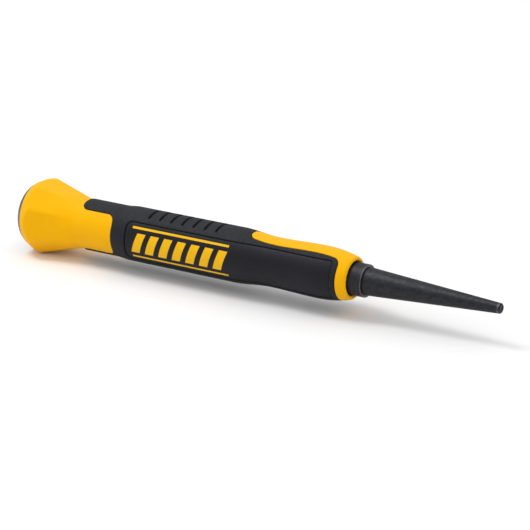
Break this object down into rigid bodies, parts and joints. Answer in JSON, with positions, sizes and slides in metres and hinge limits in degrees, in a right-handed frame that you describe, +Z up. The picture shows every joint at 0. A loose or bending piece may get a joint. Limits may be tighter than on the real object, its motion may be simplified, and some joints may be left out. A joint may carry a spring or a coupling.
{
  "type": "nail setter",
  "caption": "Hand punch that sinks nail heads: tapered steel bit in a socket, soft grip over a hard core, and a flared cap with a steel strike plate.",
  "frame": {"origin": "centre of the strike face", "axes": "+X along the tool from the strike face to the tip, +Z up through the middle of the grooved side with the pad"},
  "size_m": [0.171, 0.0246, 0.0246],
  "materials": {
    "strike_steel": "ground",
    "black_steel": "black oxide, satin",
    "yellow_plastic": "fine moulded satin",
    "grip_rubber": "soft matt",
    "panel_plastic": "smooth satin",
    "spring_steel": "drawn wire"
  },
  "bodies": {
    "handle": {"strike_plate": "strike_steel", "core_bar": "black_steel", "handle_core": "yellow_plastic", "grip_sleeve": "grip_rubber", "left_panel": "panel_plastic", "right_panel": "panel_plastic", "retaining_ring": "spring_steel"},
    "bit": {"punch_bit": "black_steel"}
  },
  "joints": [
    {"name": "bit_pull", "type": "slide", "parent": "handle", "child": "bit", "axis": [1, 0, 0], "range_m": [0, 0.025]}
  ]
}
